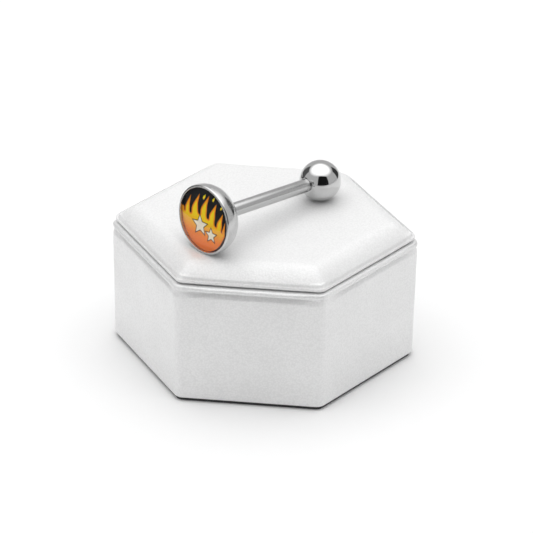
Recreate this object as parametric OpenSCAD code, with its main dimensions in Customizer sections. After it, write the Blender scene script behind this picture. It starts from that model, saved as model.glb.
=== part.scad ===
// A tongue barbell lying on the padded top of a hexagonal display stand.
// Millimetres. +Z is up, +X runs across the stand's two side corners, and the
// origin is the centre of the stand's underside. The barbell is drawn about its
// own axis, which starts in the plane of the cup's rim and runs to the ball.

/* [Bar] */
// Diameter of the bar
bar_d = 1.65; // [1.6:0.05:2.4]
// Length of the bar between the cup and the ball
bar_len = 14; // [10:0.1:16]
// Rounding of the bar's two shoulders
bar_end_r = 0.15; // [0.05:0.05:0.2]
// Diameter of the hidden studs
stud_d = 1.2; // [0.8:0.05:1.2]
// Length of the stud in the ball
ball_stud_len = 2.4; // [1.6:0.1:2.6]
// Length of the stud in the cup
cup_stud_len = 1.3; // [0.8:0.1:1.5]

/* [Cup] */
// Diameter of the cup
cup_d = 8.4; // [7:0.1:10]
// Depth of the cup from its rim to its back
cup_h = 3; // [2.6:0.1:4]
// Radius of the roll from the cup's side to its back
cup_roll_r = 2.4; // [1.2:0.1:2.5]
// Width of the rim round the picture
rim_w = 0.3; // [0.2:0.05:0.6]
// Rounding of the rim's outer edge
rim_r = 0.1; // [0.05:0.01:0.15]
// Depth of the recess behind the rim
recess_h = 0.6; // [0.4:0.05:0.8]

/* [Picture and dome] */
// Thickness of the printed disc
picture_t = 0.15; // [0.1:0.05:0.3]
// Height of the clear crown in front of the rim
dome_rise = 0.3; // [0.1:0.05:0.8]

/* [Ball] */
// Diameter of the ball
ball_d = 5; // [4:0.1:6]
// Width of the ball's flat outside the bar
seat_land = 0.1; // [0.05:0.05:0.3]

/* [Stand block] */
// Width across the two side corners
stand_w = 36.8; // [34:0.1:44]
// Depth across the front and back faces
stand_d = 29.3; // [27:0.1:36]
// Width of the front and back faces
stand_front_w = 17.1; // [14:0.1:22]
// Height of the block
stand_h = 15.7; // [8:0.1:30]
// Rounding of the upright corners
stand_corner_r = 1.3; // [0.8:0.1:3]
// Radius of the rolled top edge
stand_roll_r = 0.6; // [0.3:0.05:1]
// How far the rolled edge stands out from the faces
stand_roll_out = 0.15; // [0.05:0.05:0.3]
// Rounding of the bottom edge
stand_foot_r = 0.5; // [0.2:0.05:1]

/* [Padded top] */
// Height of the pad at its middle
pad_h = 2.1; // [1.4:0.1:4]
// Height of the pad's upright edge
pad_edge_h = 0.65; // [0.4:0.05:0.8]
// Width of the slope round the pad
pad_slope_w = 2.8; // [1.5:0.1:4]
// Rounding of the pad's lower edge
pad_foot_r = 0.25; // [0.1:0.05:0.35]
// How far the pad's edge lies inside the block's faces
pad_inset = 0.05; // [0:0.05:0.4]

/* [Place of the barbell] */
// Place of the barbell's middle along X
rest_x = 0; // [-3:0.05:3]
// Place of the barbell's middle along Y
rest_y = -2.85; // [-3:0.05:3]
// Turn of the barbell from +X, towards the ball
rest_turn = 50.9; // [0:0.1:180]

/* [Clearances] */
// Gap between pieces that meet end to end
seat_gap = 0.02; // [0.01:0.01:0.05]
// Radial clearance of studs, picture and dome
fit_gap = 0.03; // [0.02:0.01:0.05]
// Room beyond the tip of each stud
tip_gap = 0.2; // [0.1:0.05:0.3]
// Gap between the block and the padded top
seam_gap = 0.1; // [0.05:0.01:0.2]
// Gap between the barbell and the padded top
rest_gap = 0.03; // [0.01:0.01:0.1]

/* [Hidden] */
$fn = 96;

// Radii
bar_r = bar_d / 2;
stud_r = stud_d / 2;
cup_r = cup_d / 2;
ball_r = ball_d / 2;
recess_r = cup_r - rim_w;
dome_r = recess_r - fit_gap;

// Places along the barbell's axis, from the plane of the rim
recess_floor_z = recess_h;
picture_back_z = recess_floor_z - seat_gap;
picture_front_z = picture_back_z - picture_t;
dome_back_z = picture_front_z - seat_gap;
bar_start_z = cup_h + seat_gap;
bar_end_z = bar_start_z + bar_len;
ball_flat_z = bar_end_z + seat_gap;

// The ball's flat is just wider than the bar
ball_flat_r = bar_r + seat_land;
ball_flat_dist = sqrt(pow(ball_r, 2) - pow(ball_flat_r, 2));
ball_z = ball_flat_z + ball_flat_dist;

// The dome's front is a shallow cap that meets the rim's plane at its edge
dome_cap_r = (pow(dome_r, 2) + pow(dome_rise, 2)) / (2 * dome_rise);

// The barbell touches the top at the ball and where the cup's roll begins, so
// the tilt of its axis follows from the two radii and the length between them
roll_ring_r = cup_r - cup_roll_r;
roll_ring_z = cup_h - cup_roll_r;
rest_span = ball_z - roll_ring_z;
rest_reach = sqrt(pow(roll_ring_r, 2) + pow(rest_span, 2));
rest_tilt = acos((ball_r - cup_roll_r) / rest_reach) - atan2(rest_span, roll_ring_r);

// The hexagon: half sizes, and the direction and distance of its slanted faces
half_w = stand_w / 2;
half_d = stand_d / 2;
side_turn = atan2(half_w - stand_front_w / 2, half_d);
side_dist = half_w * cos(side_turn);
FACE_TURNS = [side_turn, 90, 180 - side_turn, 180 + side_turn, 270, 360 - side_turn];
FACE_DISTS = [side_dist, half_d, side_dist];

pad_z = stand_h + seam_gap;
top_z = pad_z + pad_h;
pad_slope_rise = pad_h - pad_edge_h;
pad_slope_r = (pow(pad_slope_w, 2) + pow(pad_slope_rise, 2)) / (2 * pad_slope_rise);

// Corners of the hexagon moved in by a distance, anticlockwise from +X
function hex_corners(inset) =
    let (
        y = half_d - inset,
        x_side = (side_dist - inset) / cos(side_turn),
        x_front = (side_dist - inset - y * sin(side_turn)) / cos(side_turn)
    )
    [[x_side, 0], [x_front, y], [-x_front, y], [-x_side, 0], [-x_front, -y], [x_front, -y]];

// The outward direction of one face
function face_normal(k) = [cos(FACE_TURNS[k]), sin(FACE_TURNS[k])];

// A hexagon moved in by a distance, with its corners rounded by arcs
module round_hexagon(inset, corner_r) {
    centres = hex_corners(inset + corner_r);
    polygon([
        for (k = [0:5])
            for (face = [(k + 5) % 6, k])
                centres[k] + corner_r * face_normal(face)
    ]);
    for (centre = centres) translate(centre) circle(r = corner_r);
}

// A rectangle from the ground up, with its two lower corners rounded
module footed_profile(half_x, height, foot_r) {
    translate([-half_x, foot_r]) square([2 * half_x, height - foot_r]);
    translate([foot_r - half_x, 0]) square([2 * (half_x - foot_r), height]);
    for (side = [-1, 1]) translate([side * (half_x - foot_r), foot_r]) circle(r = foot_r);
}

// Section of the block square to a face: rounded foot, flat face, rolled edge
module block_profile(face_dist) {
    roll_x = face_dist + stand_roll_out - stand_roll_r;
    footed_profile(face_dist, stand_h - stand_roll_r, stand_foot_r);
    translate([-roll_x, stand_foot_r]) square([2 * roll_x, stand_h - stand_foot_r]);
    for (side = [-1, 1]) translate([side * roll_x, stand_h - stand_roll_r]) circle(r = stand_roll_r);
}

// Section of the pad square to a face: short upright edge, then a long slope
module pad_profile(face_dist) {
    edge_x = face_dist - pad_inset;
    slope_x = edge_x - pad_slope_w;
    intersection() {
        footed_profile(edge_x, pad_h, pad_foot_r);
        union() {
            translate([-slope_x, 0]) square([2 * slope_x, pad_h]);
            for (side = [-1, 1]) {
                translate([side * slope_x, pad_h - pad_slope_r]) circle(r = pad_slope_r);
            }
        }
    }
}

// A section drawn out along its face, across the whole stand
module along_face(k) {
    rotate([0, 0, FACE_TURNS[k]])
        rotate([90, 0, 0])
            linear_extrude(height = 2 * stand_w, center = true) children();
}

// Moves the barbell from its own axis to its place on the padded top
module on_the_pad() {
    middle = ball_z / 2;
    lift = ball_r + (ball_z - middle) * sin(rest_tilt);
    translate([rest_x, rest_y, top_z + rest_gap + lift])
        rotate([0, 90 + rest_tilt, rest_turn])
            translate([0, 0, -middle]) children();
}

// A solid cylinder along the axis, from one place to another
module rod(radius, from_z, to_z) {
    translate([0, 0, from_z]) cylinder(r = radius, h = to_z - from_z);
}

module bar() {
    color("silver") on_the_pad() union() {
        translate([0, 0, bar_start_z]) rotate_extrude() {
            translate([0, bar_end_r]) square([bar_r, bar_len - 2 * bar_end_r]);
            square([bar_r - bar_end_r, bar_len]);
            for (z = [bar_end_r, bar_len - bar_end_r]) {
                translate([bar_r - bar_end_r, z]) circle(r = bar_end_r);
            }
        }
        rod(stud_r, bar_start_z - cup_stud_len, bar_end_z + ball_stud_len);
    }
}

module cup() {
    color("silver") on_the_pad() difference() {
        rotate_extrude() {
            translate([0, rim_r]) square([cup_r, roll_ring_z - rim_r]);
            square([cup_r - rim_r, roll_ring_z]);
            square([roll_ring_r, cup_h]);
            translate([cup_r - rim_r, rim_r]) circle(r = rim_r);
            translate([roll_ring_r, roll_ring_z]) intersection() {
                circle(r = cup_roll_r);
                square(cup_roll_r);
            }
        }
        rod(recess_r, -1, recess_floor_z);
        rod(stud_r + fit_gap, cup_h - cup_stud_len - tip_gap, cup_h + 1);
    }
}

module picture() {
    color("#26262b") on_the_pad() rod(dome_r, picture_front_z, picture_back_z);
}

module dome() {
    color([0.9, 0.95, 1, 0.35]) on_the_pad() rotate_extrude() {
        square([dome_r, dome_back_z]);
        intersection() {
            translate([0, -dome_rise]) square([dome_r, dome_rise]);
            translate([0, dome_cap_r - dome_rise]) circle(r = dome_cap_r, $fn = 720);
        }
    }
}

module ball() {
    color("silver") on_the_pad() difference() {
        translate([0, 0, ball_z]) sphere(r = ball_r);
        rod(ball_r, ball_z - 2 * ball_r, ball_flat_z);
        rod(stud_r + fit_gap, ball_flat_z - 1, bar_end_z + ball_stud_len + tip_gap);
    }
}

module stand_block() {
    color("#e4e5e8") intersection() {
        along_face(0) block_profile(FACE_DISTS[0]);
        along_face(1) block_profile(FACE_DISTS[1]);
        along_face(2) block_profile(FACE_DISTS[2]);
        linear_extrude(height = stand_h) round_hexagon(-stand_roll_out, stand_corner_r);
    }
}

module stand_pad() {
    color("#f2f3f5") translate([0, 0, pad_z]) intersection() {
        along_face(0) pad_profile(FACE_DISTS[0]);
        along_face(1) pad_profile(FACE_DISTS[1]);
        along_face(2) pad_profile(FACE_DISTS[2]);
        linear_extrude(height = pad_h) round_hexagon(pad_inset, stand_corner_r);
    }
}

bar();
cup();
picture();
dome();
ball();
stand_block();
stand_pad();
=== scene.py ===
import logging
import math
from collections.abc import Callable
from dataclasses import dataclass, field
from enum import Enum

import bmesh
import bpy
from mathutils import Matrix, Vector, noise


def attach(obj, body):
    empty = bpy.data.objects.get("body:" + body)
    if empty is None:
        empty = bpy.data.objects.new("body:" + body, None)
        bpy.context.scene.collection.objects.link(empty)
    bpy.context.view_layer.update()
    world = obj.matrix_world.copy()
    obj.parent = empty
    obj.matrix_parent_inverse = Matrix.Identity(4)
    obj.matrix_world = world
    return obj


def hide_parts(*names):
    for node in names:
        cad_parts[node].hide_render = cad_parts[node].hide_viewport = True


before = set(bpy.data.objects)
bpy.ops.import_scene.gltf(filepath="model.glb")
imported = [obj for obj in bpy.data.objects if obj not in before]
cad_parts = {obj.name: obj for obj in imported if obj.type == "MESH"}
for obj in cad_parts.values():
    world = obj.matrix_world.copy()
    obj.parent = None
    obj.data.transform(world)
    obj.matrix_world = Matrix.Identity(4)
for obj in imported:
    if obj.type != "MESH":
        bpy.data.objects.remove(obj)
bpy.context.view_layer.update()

# A steel tongue barbell with a picture cup lies on the padded top of a hexagonal display block.
# Shapes are made in millimetres and put in place in metres by one matrix for each piece.
# The ball's place in plan, BALL_X and BALL_Y, is what the studio's cards stand round.

MM = 0.001
TO_METRES = Matrix.Scale(MM, 4)
FULL_TURN = 2 * math.pi
BALL_X = 6.1
BALL_Y = 4.6
WHITE = (1.0, 1.0, 1.0, 1.0)
LOG = logging.getLogger("barbell")
PrintOutline = list[tuple[tuple[float, float], bool]]


class Slot(Enum):
    """The record's material slots."""

    STEEL = "steel"
    PRINT = "print"
    EPOXY = "epoxy"
    LEATHERETTE = "leatherette"


def linear(hex_colour: str) -> tuple[float, float, float, float]:
    """Turn an sRGB hex value to the linear colour that a socket takes.

    Args:
        hex_colour: Colour such as "#26262B".

    Returns:
        Linear red, green, blue and alpha.
    """
    channels = [int(hex_colour[i:i + 2], 16) / 255 for i in (1, 3, 5)]
    bent = [c / 12.92 if c <= 0.04045 else ((c + 0.055) / 1.055) ** 2.4 for c in channels]
    return (bent[0], bent[1], bent[2], 1.0)


def dimmed(colour: tuple[float, ...], share: float) -> tuple[float, float, float, float]:
    """Dim a linear colour to a share of itself."""
    return (share * colour[0], share * colour[1], share * colour[2], 1.0)


def pattern_scale(width_mm: float) -> float:
    """Scale at which a pattern on Object coordinates has features of this width."""
    return 1.0 / (width_mm * MM)


def add_node(tree: bpy.types.NodeTree, kind: str, inputs: dict | None = None, **settings) -> bpy.types.Node:
    """Add one node with its settings, values and links.

    Args:
        tree: Node tree that gets the node.
        kind: The node's type name.
        inputs: Value or output socket for each input, by its name or number.
        settings: Properties of the node itself.

    Returns:
        The new node.
    """
    node = tree.nodes.new(kind)
    for name, value in settings.items():
        setattr(node, name, value)
    for key, value in (inputs or {}).items():
        if isinstance(value, bpy.types.NodeSocket):
            tree.links.new(value, node.inputs[key])
        else:
            node.inputs[key].default_value = value
    return node


def new_finish(name: str) -> tuple[bpy.types.Material, bpy.types.NodeTree, bpy.types.Node]:
    """Make an empty material with its shader joined to the output.

    Args:
        name: The material's plain name.

    Returns:
        The material, its node tree and its Principled shader.
    """
    material = bpy.data.materials.new(name)
    material.use_nodes = True
    tree = material.node_tree
    tree.nodes.clear()
    shader = add_node(tree, "ShaderNodeBsdfPrincipled")
    add_node(tree, "ShaderNodeOutputMaterial", {"Surface": shader.outputs["BSDF"]})
    return material, tree, shader


def about_axis(tree: bpy.types.NodeTree, axis_place: Matrix) -> bpy.types.NodeSocket:
    """Read Object coordinates about a part's own axis.

    Args:
        tree: Node tree of the part's finish.
        axis_place: Place of the axis, in metres.

    Returns:
        Coordinates whose Z runs along the axis.
    """
    coords = add_node(tree, "ShaderNodeTexCoord")
    local = add_node(tree, "ShaderNodeMapping", {
        "Vector": coords.outputs["Object"],
        "Location": axis_place.to_translation(),
        "Rotation": axis_place.to_euler(),
    }, vector_type="TEXTURE")
    return local.outputs[0]


def fill_ramp(ramp: bpy.types.ColorRamp, stops: list[tuple[float, tuple]]) -> None:
    """Give a colour ramp its stops.

    Args:
        ramp: The ramp of a ColorRamp node.
        stops: Place and linear colour of each stop, in order.
    """
    while len(ramp.elements) < len(stops):
        ramp.elements.new(1.0)
    for element, (place, colour) in zip(ramp.elements, stops):
        element.position = place
        element.color = colour


@dataclass(frozen=True)
class PolishedSteel:
    """Surgical steel, turned or drawn and then buffed.

    It reflects the studio almost sharply. Fine lines run round the axis of a turned part, and
    along a drawn bar, and soften the edges of what it mirrors. Real lines are 0.01 mm apart, and
    these are drawn coarser to show.

    Attributes:
        name: The material's plain name.
        colour: Colour of the clean metal.
        roughness: Roughness of the metal, which the haze varies.
        line_mm: Width of a line.
        along_scale: Scale of the pattern along a line, where it hardly changes.
        bump_mm: Depth of a line.
        haze_mm: Width of the faint clouds that buffing leaves.
        haze_range: Least and greatest share of the roughness in the haze.
        haze_tone: Share of the colour that the darkest places keep.
        drawn: Whether the lines run along the axis, and not round it.
    """

    name: str
    colour: str = "#CACACA"
    roughness: float = 0.05
    line_mm: float = 0.05
    along_scale: float = 60.0
    bump_mm: float = 0.0006
    haze_mm: float = 0.9
    haze_range: tuple[float, float] = (0.7, 1.5)
    haze_tone: float = 0.96
    drawn: bool = False

    def make(self, axis_place: Matrix) -> bpy.types.Material:
        """Make the steel with its buffing lines round an axis.

        Args:
            axis_place: Place of the turned part's own axis, in metres.

        Returns:
            The finished material.
        """
        material, tree, shader = new_finish(self.name)
        shader.inputs["Metallic"].default_value = 1.0
        local = about_axis(tree, axis_place)
        fine = pattern_scale(self.line_mm)
        along = self.along_scale
        lines_place = add_node(tree, "ShaderNodeMapping", {
            "Vector": local, "Scale": (fine, fine, along) if self.drawn else (along, along, fine),
        })
        lines = add_node(tree, "ShaderNodeTexNoise", {
            "Vector": lines_place.outputs[0], "Scale": 1.0, "Detail": 3.0, "Roughness": 0.6,
        })
        haze = add_node(tree, "ShaderNodeTexNoise", {
            "Vector": local, "Scale": pattern_scale(self.haze_mm), "Detail": 4.0,
        })
        rough = add_node(tree, "ShaderNodeMapRange", {
            "Value": haze.outputs["Fac"], "From Min": 0.3, "From Max": 0.7,
            "To Min": self.roughness * self.haze_range[0], "To Max": self.roughness * self.haze_range[1],
        })
        tone = add_node(tree, "ShaderNodeValToRGB", {"Fac": haze.outputs["Fac"]})
        clean = linear(self.colour)
        fill_ramp(tone.color_ramp, [(0.2, dimmed(clean, self.haze_tone)), (0.8, clean)])
        bump = add_node(tree, "ShaderNodeBump", {
            "Height": lines.outputs["Fac"], "Strength": 0.35, "Distance": self.bump_mm * MM,
        })
        tree.links.new(tone.outputs["Color"], shader.inputs["Base Color"])
        tree.links.new(rough.outputs["Result"], shader.inputs["Roughness"])
        tree.links.new(bump.outputs["Normal"], shader.inputs["Normal"])
        return material


@dataclass(frozen=True)
class PrintInk:
    """Printing ink on coated card: flat, even and matt under the epoxy.

    The colour runs from the foot of the motif to its tip, with a faint mottle of the card.

    Attributes:
        name: The material's plain name.
        stops: Share of the way up the picture and the colour there, from the foot.
        mottle_mm: Width of the mottle.
        mottle_share: How far up or down the picture the mottle can shift the colour.
        roughness: Roughness of the ink.
    """

    name: str
    stops: tuple[tuple[float, str], ...]
    mottle_mm: float = 0.12
    mottle_share: float = 0.08
    roughness: float = 0.55

    def make(self, axis_place: Matrix, radius_mm: float) -> bpy.types.Material:
        """Make the ink with its run of colour up the picture.

        Args:
            axis_place: Place of the barbell's own axis, in metres.
            radius_mm: Radius of the picture.

        Returns:
            The finished material.
        """
        material, tree, shader = new_finish(self.name)
        local = about_axis(tree, axis_place)
        parts = add_node(tree, "ShaderNodeSeparateXYZ", {"Vector": local})
        mottle = add_node(tree, "ShaderNodeTexNoise", {
            "Vector": local, "Scale": pattern_scale(self.mottle_mm), "Detail": 2.0,
        })
        height = add_node(tree, "ShaderNodeMapRange", {
            "Value": parts.outputs["X"], "From Min": radius_mm * MM, "From Max": -radius_mm * MM,
        })
        shaken = add_node(tree, "ShaderNodeMath", {
            0: mottle.outputs["Fac"], 1: self.mottle_share, 2: height.outputs["Result"],
        }, operation="MULTIPLY_ADD")
        run = add_node(tree, "ShaderNodeValToRGB", {"Fac": shaken.outputs[0]})
        shift = self.mottle_share / 2
        fill_ramp(run.color_ramp, [(place + shift, linear(colour)) for place, colour in self.stops])
        tree.links.new(run.outputs["Color"], shader.inputs["Base Color"])
        shader.inputs["Roughness"].default_value = self.roughness
        shader.inputs["Specular IOR Level"].default_value = 0.2
        return material


@dataclass(frozen=True)
class ClearEpoxy:
    """Doming epoxy, poured and cured: glassy and colourless, with a barely uneven skin.

    Cured epoxy has an index of 1.5, which its glossy skin keeps. It is bonded to the print with no
    air between, so its body has a low one: at 1.5 light would be lost at a back face that the real
    piece doesn't have, and the print would look dark.

    Attributes:
        name: The material's plain name.
        colour: Tint of the body.
        body_ior: Index of the body.
        skin_ior: Index of the skin.
        roughness: Roughness of both.
        swell_mm: Width of the skin's unevenness.
        bump_mm: Depth of the skin's unevenness.
    """

    name: str = "Clear doming epoxy"
    colour: str = "#FDFDFC"
    body_ior: float = 1.05
    skin_ior: float = 1.5
    roughness: float = 0.015
    swell_mm: float = 2.5
    bump_mm: float = 0.002

    def make(self) -> bpy.types.Material:
        """Make the epoxy.

        Returns:
            The finished material.
        """
        material, tree, shader = new_finish(self.name)
        coords = add_node(tree, "ShaderNodeTexCoord")
        swell = add_node(tree, "ShaderNodeTexNoise", {
            "Vector": coords.outputs["Object"], "Scale": pattern_scale(self.swell_mm), "Detail": 1.0,
        })
        bump = add_node(tree, "ShaderNodeBump", {
            "Height": swell.outputs["Fac"], "Strength": 0.3, "Distance": self.bump_mm * MM,
        })
        shader.inputs["Base Color"].default_value = linear(self.colour)
        shader.inputs["Roughness"].default_value = self.roughness
        shader.inputs["IOR"].default_value = self.body_ior
        shader.inputs["Transmission Weight"].default_value = 1.0
        shader.inputs["Coat Weight"].default_value = 0.7
        shader.inputs["Coat Roughness"].default_value = self.roughness
        shader.inputs["Coat IOR"].default_value = self.skin_ior
        tree.links.new(bump.outputs["Normal"], shader.inputs["Coat Normal"])
        return material


@dataclass(frozen=True)
class PearlLeatherette:
    """Pearl-coated leatherette: an embossed skin of fine pebbles under a silvery lacquer.

    The pebbles are about 0.2 mm across, and the lacquer gives a soft wide shine. Short upright
    creases lie where the skin is pulled over an edge, between the two heights given. Below
    board_shade_mm the dark base board shows, on which the covered piece stands. Its dark colour
    is painted shade: it paints the dark shade line under the block.

    Attributes:
        name: The material's plain name.
        colour: Colour of the pebbles.
        valley: Colour of the grooves between them.
        pebble_mm: Width of a pebble.
        pebble_deep_mm: Depth of the grooves.
        warp_mm: Width over which the rows of pebbles wander.
        warp_by_mm: How far they wander.
        pore_mm: Width of the pores on the pebbles.
        pore_share: How much the pores count in the relief beside the grooves.
        cloud_mm: Width of the faint clouds in tone and shine.
        cloud_share: How much the clouds count in the tone beside the grooves.
        cloud_shine: Change of the roughness at either end of the clouds.
        crease_mm: Width of a crease.
        crease_narrow: Width of a crease as a share of its length.
        crease_deep_mm: Depth of a crease.
        crease_rest: Share of their depth that the creases have before they set in.
        crease_from_mm: Height at which the creases set in.
        crease_to_mm: Height at which they are at their deepest.
        roughness: Roughness of the lacquer.
        pearl: How far it mirrors as metal does.
        board_shade_mm: Height up to which the dark board shows, painted dark as the shade under the block.
        board_shade_colour: Colour of the board, a painted shade for the dark line under the block.
    """

    name: str
    colour: str
    valley: str
    pebble_mm: float = 0.22
    pebble_deep_mm: float = 0.024
    warp_mm: float = 0.9
    warp_by_mm: float = 0.25
    pore_mm: float = 0.14
    pore_share: float = 0.7
    cloud_mm: float = 4.5
    cloud_share: float = 0.5
    cloud_shine: tuple[float, float] = (-0.03, 0.05)
    crease_mm: float = 0.38
    crease_narrow: float = 0.14
    crease_deep_mm: float = 0.03
    crease_rest: float = 0.12
    crease_from_mm: float = 0.0
    crease_to_mm: float = 0.0
    roughness: float = 0.5
    pearl: float = 0.3
    board_shade_mm: float = 0.0
    board_shade_colour: str = "#3C3B3D"

    def make(self) -> bpy.types.Material:
        """Make the leatherette.

        Returns:
            The finished material.
        """
        material, tree, shader = new_finish(self.name)
        coords = add_node(tree, "ShaderNodeTexCoord")
        place = coords.outputs["Object"]
        warp = add_node(tree, "ShaderNodeTexNoise", {
            "Vector": place, "Scale": pattern_scale(self.warp_mm), "Detail": 2.0,
        })
        pushed = add_node(tree, "ShaderNodeVectorMath", {
            0: warp.outputs["Color"], 1: (self.warp_by_mm * MM,) * 3, 2: place,
        }, operation="MULTIPLY_ADD")
        pebbles = add_node(tree, "ShaderNodeTexVoronoi", {
            "Vector": pushed.outputs[0], "Scale": pattern_scale(self.pebble_mm), "Smoothness": 0.5,
        }, feature="SMOOTH_F1")
        pores = add_node(tree, "ShaderNodeTexNoise", {
            "Vector": place, "Scale": pattern_scale(self.pore_mm), "Detail": 3.0, "Roughness": 0.6,
        })
        skin = add_node(tree, "ShaderNodeMath", {
            0: pores.outputs["Fac"], 1: -self.pore_share, 2: pebbles.outputs["Distance"],
        }, operation="MULTIPLY_ADD")
        grain = add_node(tree, "ShaderNodeBump", {
            "Height": skin.outputs[0], "Strength": 0.7, "Distance": self.pebble_deep_mm * MM,
        }, invert=True)
        creased_place = add_node(tree, "ShaderNodeMapping", {
            "Vector": place, "Scale": (1.0, 1.0, self.crease_narrow),
        })
        creases = add_node(tree, "ShaderNodeTexNoise", {
            "Vector": creased_place.outputs[0], "Scale": pattern_scale(self.crease_mm),
            "Detail": 2.0, "Roughness": 0.5,
        })
        parts = add_node(tree, "ShaderNodeSeparateXYZ", {"Vector": place})
        strength = add_node(tree, "ShaderNodeMapRange", {
            "Value": parts.outputs["Z"], "From Min": self.crease_from_mm * MM,
            "From Max": self.crease_to_mm * MM, "To Min": self.crease_rest, "To Max": 1.0,
        }, interpolation_type="SMOOTHSTEP")
        drawn = add_node(tree, "ShaderNodeMath", {
            0: creases.outputs["Fac"], 1: strength.outputs["Result"],
        }, operation="MULTIPLY")
        skin_normal = add_node(tree, "ShaderNodeBump", {
            "Height": drawn.outputs[0], "Strength": 0.5, "Distance": self.crease_deep_mm * MM,
            "Normal": grain.outputs["Normal"],
        })
        cloud = add_node(tree, "ShaderNodeTexNoise", {
            "Vector": place, "Scale": pattern_scale(self.cloud_mm), "Detail": 2.0,
        })
        shade = add_node(tree, "ShaderNodeMath", {
            0: cloud.outputs["Fac"], 1: self.cloud_share, 2: pebbles.outputs["Distance"],
        }, operation="MULTIPLY_ADD")
        tone = add_node(tree, "ShaderNodeValToRGB", {"Fac": shade.outputs[0]})
        fill_ramp(tone.color_ramp, [(0.2, linear(self.colour)), (1.0, linear(self.valley))])
        # Below the board's height the colour turns dark: painted shade for the line under the block.
        in_board_shade = add_node(tree, "ShaderNodeMath", {
            0: parts.outputs["Z"], 1: self.board_shade_mm * MM,
        }, operation="LESS_THAN")
        dressed = add_node(tree, "ShaderNodeMix", {
            0: in_board_shade.outputs[0], 6: tone.outputs["Color"], 7: linear(self.board_shade_colour),
        }, data_type="RGBA")
        rough = add_node(tree, "ShaderNodeMapRange", {
            "Value": cloud.outputs["Fac"], "From Min": 0.3, "From Max": 0.7,
            "To Min": self.roughness + self.cloud_shine[0], "To Max": self.roughness + self.cloud_shine[1],
        })
        tree.links.new(dressed.outputs[2], shader.inputs["Base Color"])
        tree.links.new(rough.outputs["Result"], shader.inputs["Roughness"])
        tree.links.new(skin_normal.outputs["Normal"], shader.inputs["Normal"])
        shader.inputs["Metallic"].default_value = self.pearl
        shader.inputs["Specular IOR Level"].default_value = 0.5
        return material


@dataclass(frozen=True)
class TableTop:
    """Matt white lacquered board, the photographer's table."""

    name: str = "Matt white table"
    colour: str = "#F2F2F2"

    def make(self) -> bpy.types.Material:
        """Make the table's finish.

        Returns:
            The finished material.
        """
        material, tree, shader = new_finish(self.name)
        coords = add_node(tree, "ShaderNodeTexCoord")
        cloud = add_node(tree, "ShaderNodeTexNoise", {
            "Vector": coords.outputs["Object"], "Scale": 12.0, "Detail": 1.0,
        })
        tone = add_node(tree, "ShaderNodeValToRGB", {"Fac": cloud.outputs["Fac"]})
        white = linear(self.colour)
        fill_ramp(tone.color_ramp, [(0.0, dimmed(white, 0.995)), (1.0, white)])
        tree.links.new(tone.outputs["Color"], shader.inputs["Base Color"])
        shader.inputs["Roughness"].default_value = 0.85
        shader.inputs["Specular IOR Level"].default_value = 0.1
        return material


def turned(profile: list[tuple[float, float]], steps: int) -> bmesh.types.BMesh:
    """Turn a profile round the Z axis into a closed shell.

    Args:
        profile: Radius and height of each point, in millimetres, from axis to axis.
        steps: Number of steps round the axis.

    Returns:
        The turned mesh, in millimetres.
    """
    bm = bmesh.new()
    points = [bm.verts.new((radius, 0.0, height)) for radius, height in profile]
    lines = [bm.edges.new(pair) for pair in zip(points, points[1:])]
    bmesh.ops.spin(bm, geom=points + lines, axis=(0, 0, 1), cent=(0, 0, 0), angle=FULL_TURN, steps=steps,
                   use_merge=True)
    bmesh.ops.remove_doubles(bm, verts=bm.verts, dist=1e-4)
    bmesh.ops.recalc_face_normals(bm, faces=bm.faces)
    return bm


def round_corner(bm: bmesh.types.BMesh, radius: float, height: float, offset: float, segments: int) -> None:
    """Round the ring of edges that one point of a turned profile makes.

    Args:
        bm: The turned mesh.
        radius: The point's distance from the axis.
        height: The point's height.
        offset: Radius of the rounding.
        segments: Number of faces across the rounding.
    """
    def on_ring(vert: bmesh.types.BMVert) -> bool:
        """Tell whether a vertex is on the ring."""
        return abs(vert.co.xy.length - radius) < 1e-3 and abs(vert.co.z - height) < 1e-3

    ring = [edge for edge in bm.edges if all(on_ring(vert) for vert in edge.verts)]
    bmesh.ops.bevel(bm, geom=ring, offset=offset, offset_type="OFFSET", segments=segments, profile=0.5,
                    affect="EDGES", material=-1)


def raise_ring(bm: bmesh.types.BMesh, cap: bmesh.types.BMFace,
               move: Callable[[Vector], Vector]) -> bmesh.types.BMFace:
    """Extrude the cap of a mesh and put the new ring in place.

    Args:
        bm: The mesh.
        cap: The face that closes it.
        move: Gives the new place of each of the cap's points.

    Returns:
        The new cap.
    """
    inside = any(len(edge.link_faces) > 1 for edge in cap.edges)
    made = bmesh.ops.extrude_face_region(bm, geom=[cap])["geom"]
    if inside:
        bmesh.ops.delete(bm, geom=[cap], context="FACES_ONLY")
    for item in made:
        if isinstance(item, bmesh.types.BMVert):
            item.co = move(item.co)
    return next(item for item in made if isinstance(item, bmesh.types.BMFace))


def link_mesh(bm: bmesh.types.BMesh, name: str, material: bpy.types.Material) -> bpy.types.Object:
    """Turn a mesh in metres into an object of the scene.

    Args:
        bm: The mesh, which is freed here.
        name: The object's plain name.
        material: Its finish.

    Returns:
        The new object.
    """
    mesh = bpy.data.meshes.new(name)
    bm.to_mesh(mesh)
    bm.free()
    mesh.materials.append(material)
    made = bpy.data.objects.new(name, mesh)
    bpy.context.scene.collection.objects.link(made)
    return made


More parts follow.
